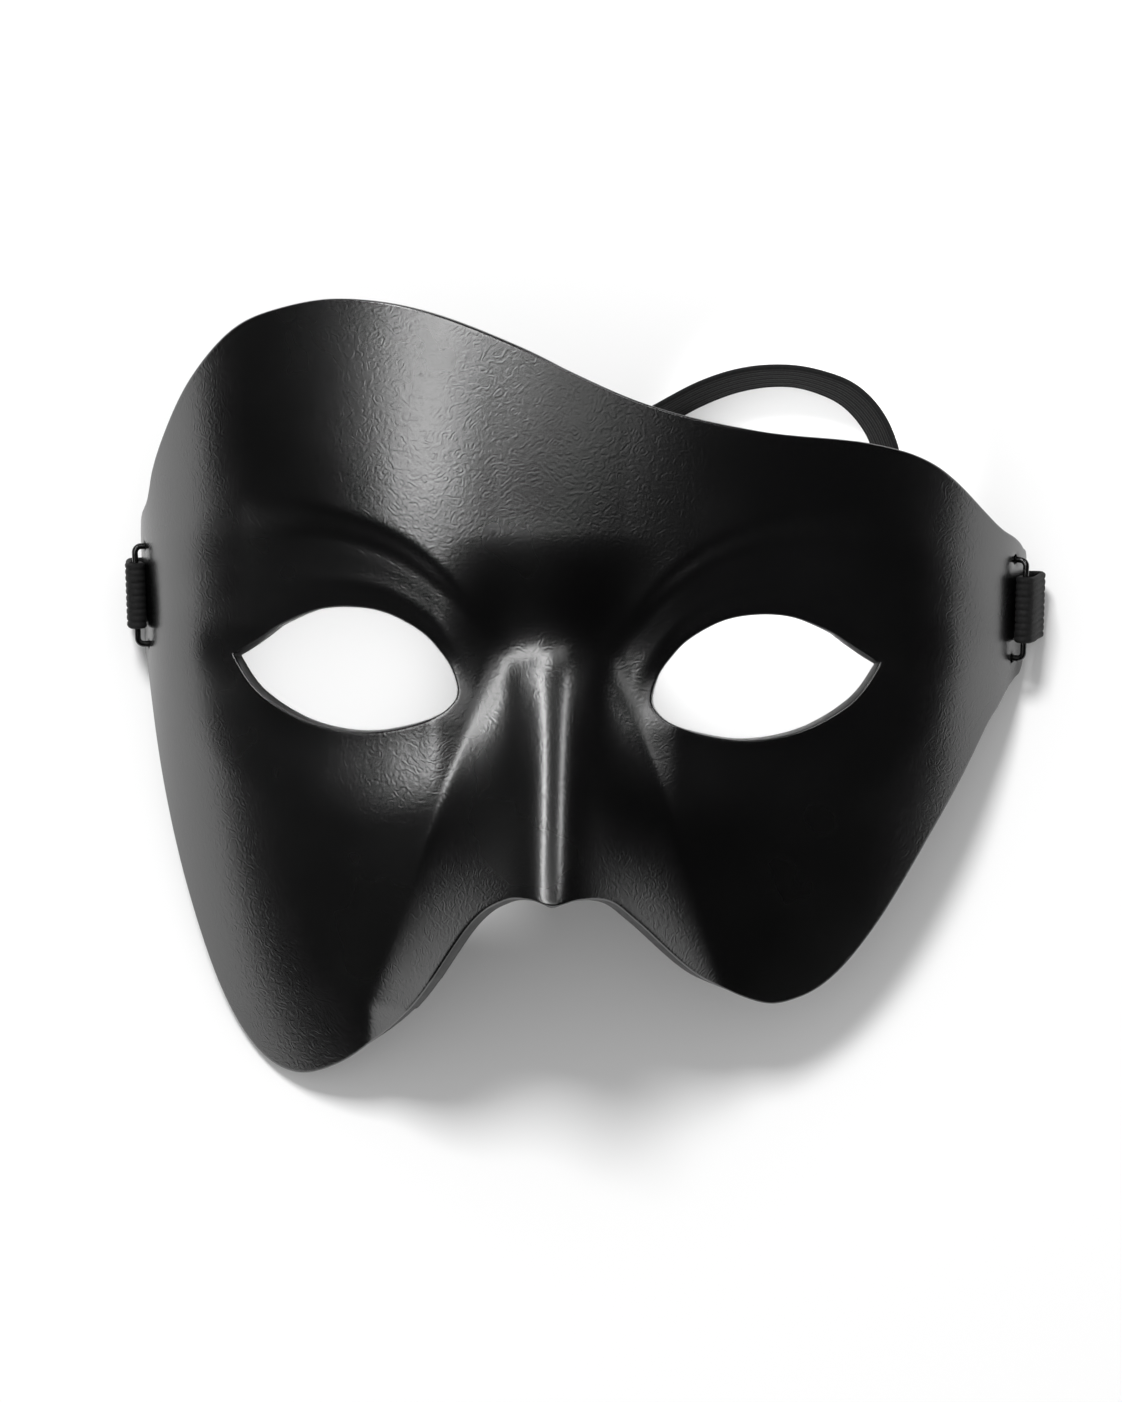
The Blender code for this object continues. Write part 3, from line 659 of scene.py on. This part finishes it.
moulded = mouldedMaterial()
lining = plainBlack("mouldedInside", (0.004, 0.004, 0.004), 0.6, 900, 0.03 * mm)
cutEdge = plainBlack("cutEdge", (0.006, 0.006, 0.006), 0.38, 700, 0.015 * mm)
lacquer = plainBlack("blackLacquer", (0.002, 0.002, 0.002), 0.22, 300, 0.004 * mm, 0.4)
webbing = plainBlack("blackElastic", (0.003, 0.003, 0.0032), 0.78, 2200, 0.08 * mm)
print("materials made")

# The shell
verts, faces, kinds = makeShellMesh()
maskShell = meshObject("maskShell", verts, faces, [moulded, lining, cutEdge], kinds)
maskShell.data.transform(layMatrix)
box = np.array([tuple(v.co) for v in maskShell.data.vertices])
low, high = [np.array(c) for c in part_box("mask_shell")]
shift = Vector((low + high - box.min(0) - box.max(0)) / 2)
shift.z = low[2] - box[:, 2].min()
moved = [round(c / mm, 2) for c in shift]
print("shell has", len(maskShell.data.polygons), "faces, moved by", moved)
rowMatrix = Matrix.Translation(shift) @ layMatrix
maskShell.data.transform(Matrix.Translation(shift))


def makeLoop(side, name):
    middle, outward, edgeward, upward = tabFrame(side)
    far = -(face["wall"] + wireLook["gap"] + wireLook["thick"] / 2)
    radius, steps = wireLook["corner"], wireLook["cornerSteps"]
    path = []
    # out, end and the angle at which each corner starts
    for out, end, start in ((legOut, 1, 90), (legOut, -1, 0), (far, -1, 270), (far, 1, 180)):
        centreOut = out - math.copysign(radius, out)
        centreUp = end * (tab["loopHeight"] / 2 - radius)
        for k in range(steps + 1):
            angle = math.radians(start - 90 * k / steps)
            path.append(middle + outward * (centreOut + radius * math.cos(angle))
                        + upward * (centreUp + radius * math.sin(angle)))
    fine = []
    for a, b in zip(path, path[1:] + path[:1]):
        pieces = max(1, round((b - a).length / wireLook["step"]))
        fine += [a.lerp(b, k / pieces) for k in range(pieces)]
    verts, faces = [], []
    sides = wireLook["sides"]
    for k, here in enumerate(fine):
        along = (fine[(k + 1) % len(fine)] - fine[k - 1]).normalized()
        across = along.cross(edgeward).normalized()
        for s in range(sides):
            angle = 2 * math.pi * s / sides
            verts.append(here + (edgeward * math.cos(angle) + across * math.sin(angle))
                         * wireLook["thick"] / 2)
    count = len(fine)
    for k in range(count):
        for s in range(sides):
            a, b = k * sides + s, k * sides + (s + 1) % sides
            c, d = (k + 1) % count * sides + (s + 1) % sides, (k + 1) % count * sides + s
            faces.append((a, b, c, d))
    loop = meshObject(name, verts, faces, [lacquer])
    loop.data.transform(rowMatrix)
    return loop


loopLeft = makeLoop(-1, "wireLoopLeft")
loopRight = makeLoop(1, "wireLoopRight")
print("wire loops made")


def strapSections():
    ends = []
    for side in (-1, 1):
        fold = []
        for centre, upward in foldSections(side):
            placed = layMatrix @ centre
            fold.append((placed, (layMatrix @ (centre + upward) - placed).normalized()))
        ends.append(fold)
    left, right = ends
    route = [(left[-1][0].x, left[-1][0].y, pitch / quarter)]
    for across, reach, raised in elastic["route"]:
        half = face["leftHalf"] if across < 0 else face["rightHalf"]
        route.append((across * half, reach * elastic["reach"], raised))
    route.append((right[-1][0].x, right[-1][0].y, pitch / quarter))
    curve = smoothThrough(route, False)
    curve = evenly(curve, elastic["step"], False, curve[:, :2])
    middle = []
    for before, here, after in zip(curve, curve[1:], curve[2:]):
        run = Vector((after[0] - before[0], after[1] - before[1], 0)).normalized()
        raised = here[2] * quarter
        width = Vector((-run.y, run.x, 0)) * math.cos(raised) + Vector((0, 0, math.sin(raised)))
        height = elastic["width"] * math.sin(raised) + elastic["thick"] * math.cos(raised)
        middle.append((Vector((here[0], here[1], height / 2)), width))
    return left + middle + right[::-1]


def bandProfile():
    # one turn round the band: (across the width, out of the band), both as lengths
    half, thick, ribs = elastic["width"] / 2, elastic["thick"] / 2, elastic["ribs"]
    count = ribs * elastic["ribPoints"]
    top = []
    for k in range(count + 1):
        across = -1 + 2 * k / count
        place = (across + 1) / 2 * ribs
        rib = abs(math.sin(math.pi * place))
        deep = elastic["ribDepth"] * elastic["deepRib" if round(place) % 2 else "shallowRib"]
        edge = max(0, abs(across) * half - (half - thick))
        crown = math.sqrt(max(0, thick ** 2 - edge ** 2))
        out = crown - deep * (1 - rib ** elastic["ribPower"])
        top.append((across * half, max(elastic["leastOut"] * thick, out)))
    return top + [(across, -out) for across, out in top[::-1]]


def makeStrap():
    sections = strapSections()
    profile = bandProfile()
    verts, faces = [], []
    for k, (centre, width) in enumerate(sections):
        before = sections[max(0, k - 1)][0]
        after = sections[min(len(sections) - 1, k + 1)][0]
        along = (after - before).normalized()
        out = along.cross(width).normalized()
        verts += [centre + width * a + out * o for a, o in profile]
    around = len(profile)
    for k in range(len(sections) - 1):
        for s in range(around):
            a, b = k * around + s, k * around + (s + 1) % around
            faces.append((a, b, b + around, a + around))
    faces.append(tuple(range(around))[::-1])
    faces.append(tuple(range((len(sections) - 1) * around, len(sections) * around)))
    strap = meshObject("elasticStrap", verts, faces, [webbing])
    strap.data.transform(Matrix.Translation(shift))
    return strap


strap = makeStrap()
print("elastic made")

pieceRows = (
    (maskShell, "mask_shell", "moulded_shell"),
    (loopLeft, "wire_loop_left", "wire"),
    (loopRight, "wire_loop_right", "wire"),
    (strap, "elastic_strap", "elastic"),
)
for piece, node, finish in pieceRows:
    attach(piece, "root")
    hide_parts(node)

# Floor, light and camera
studio = {
    "floor": (0.86, 0.86, 0.86), "floorSize": 12.0,
    "ambient": 0.57,            # what the floor gets from all round
    "gloom": 0.004,             # what the gloss sees between the lights
    # name, place, target, size across and along, watts, seen in the gloss
    "lights": (
        ("topSoft", (-0.40, 1.16, 1.66), (0, 0, 0.03), (0.50, 0.50), 36.0, False),
        ("leftStrip", (-0.44, 0.46, 0.95), (0, 0.02, 0.05), (0.12, 0.76), 4.4, True),
        ("keyHigh", (-0.27, 0.00, 1.03), (0, 0.02, 0.05), (0.24, 0.24), 1.3, True),
        ("keyLow", (-0.48, -0.22, 1.00), (0, 0.02, 0.05), (0.28, 0.26), 1.4, True),
        ("frontPanel", (0.04, -0.12, 1.05), (0, 0, 0.05), (0.42, 0.30), 0.45, True),
        ("rightStrip", (0.36, 0.50, 1.00), (0, 0, 0.05), (0.14, 0.60), 1.8, True),
    ),
    "openSpot": 30.0,           # watts of the narrow light through each opening
    "openCone": 4.8,            # degrees across
    "openSoftness": 0.004,
    "eyeOut": 0.8,              # share of the face's depth at which the eyes lie
    "archMiddle": (44 * mm, 50 * mm, 0.0),      # of the gap inside the strap
}
view = {
    "target": (0, 0, 35 * mm), "tilt": 8.0, "distance": 850 * mm, "roll": 1.1,
    "focalPixels": 4421.0, "pictureX": 556.5, "pictureY": 674.0,
    # of the picture, whose long side takes the sensor's width
    "longSide": 1402, "middleX": 561, "middleY": 701, "sensor": 36.0,
}


def makeFloor():
    bpy.ops.mesh.primitive_plane_add(size=studio["floorSize"])
    floor = bpy.context.object
    floor.name = "floor"
    material, tree, shader = newMaterial("paleFloor")
    shader.inputs["Base Color"].default_value = (*studio["floor"], 1)
    shader.inputs["Roughness"].default_value = 0.9
    shader.inputs["Specular IOR Level"].default_value = 0.1
    floor.data.materials.append(material)


def makeLights():
    world = bpy.data.worlds.new("studio")
    bpy.context.scene.world = world
    world.use_nodes = True
    tree = world.node_tree
    sky = tree.nodes["Background"]
    gloom = tree.nodes.new("ShaderNodeBackground")
    path = tree.nodes.new("ShaderNodeLightPath")
    choice = tree.nodes.new("ShaderNodeMixShader")
    for node, level in ((sky, studio["ambient"]), (gloom, studio["gloom"])):
        node.inputs["Color"].default_value = (level, level, level, 1)
    tree.links.new(path.outputs["Is Glossy Ray"], choice.inputs["Fac"])
    tree.links.new(sky.outputs[0], choice.inputs[1])
    tree.links.new(gloom.outputs[0], choice.inputs[2])
    tree.links.new(choice.outputs[0], tree.nodes["World Output"].inputs["Surface"])
    for name, place, target, size, watts, glossy in studio["lights"]:
        data = bpy.data.lights.new(name, "AREA")
        data.shape = "RECTANGLE"
        data.size, data.size_y = size
        data.energy = watts
        lamp = bpy.data.objects.new(name, data)
        bpy.context.scene.collection.objects.link(lamp)
        away = (Vector(place) - Vector(target)).normalized()
        across = Vector((0, 1, 0)).cross(away).normalized()
        turned = Matrix((across, away.cross(across), away)).transposed().to_4x4()
        lamp.matrix_world = Matrix.Translation(place) @ turned
        lamp.visible_camera = False
        lamp.visible_glossy = glossy
        lamp.visible_diffuse = not glossy


def makeOpenSpots(camera):
    # the floor behind the eyes and the strap is lit along the line of sight
    middles = [rowMatrix @ Vector((one[0] * one[1], one[2], studio["eyeOut"] * face["depth"]))
               for one in eye["pair"]]
    middles.append(Vector(studio["archMiddle"]))
    for middle in middles:
        data = bpy.data.lights.new("openSpot", "SPOT")
        data.energy = studio["openSpot"]
        data.spot_size = math.radians(studio["openCone"])
        data.spot_blend = 1.0
        data.shadow_soft_size = studio["openSoftness"]
        lamp = bpy.data.objects.new("openSpot", data)
        bpy.context.scene.collection.objects.link(lamp)
        place = camera.matrix_world.translation
        lamp.location = place
        lamp.rotation_mode = "QUATERNION"
        lamp.rotation_quaternion = (place - middle).to_track_quat("Z", "Y")
        lamp.visible_glossy = False


def makeCamera():
    tilt, roll = math.radians(view["tilt"]), math.radians(view["roll"])
    back = Vector((0, math.sin(tilt), math.cos(tilt)))
    right = Vector((1, 0, 0))
    up = back.cross(right)
    sideways = right * math.cos(roll) + up * math.sin(roll)
    upright = up * math.cos(roll) - right * math.sin(roll)
    place = Vector(view["target"]) + back * view["distance"]
    turned = Matrix((sideways, upright, back)).transposed().to_4x4()
    data = bpy.data.cameras.new("camera")
    data.sensor_width = view["sensor"]
    data.lens = view["focalPixels"] / view["longSide"] * data.sensor_width
    data.shift_x = (view["middleX"] - view["pictureX"]) / view["longSide"]
    data.shift_y = (view["pictureY"] - view["middleY"]) / view["longSide"]
    camera = bpy.data.objects.new("camera", data)
    bpy.context.scene.collection.objects.link(camera)
    camera.matrix_world = rowMatrix @ Matrix.Translation(place) @ turned
    bpy.context.scene.camera = camera
    return camera


makeFloor()
makeLights()
makeOpenSpots(makeCamera())
bpy.context.scene.view_settings.view_transform = "Standard"
print("floor, light and camera set")
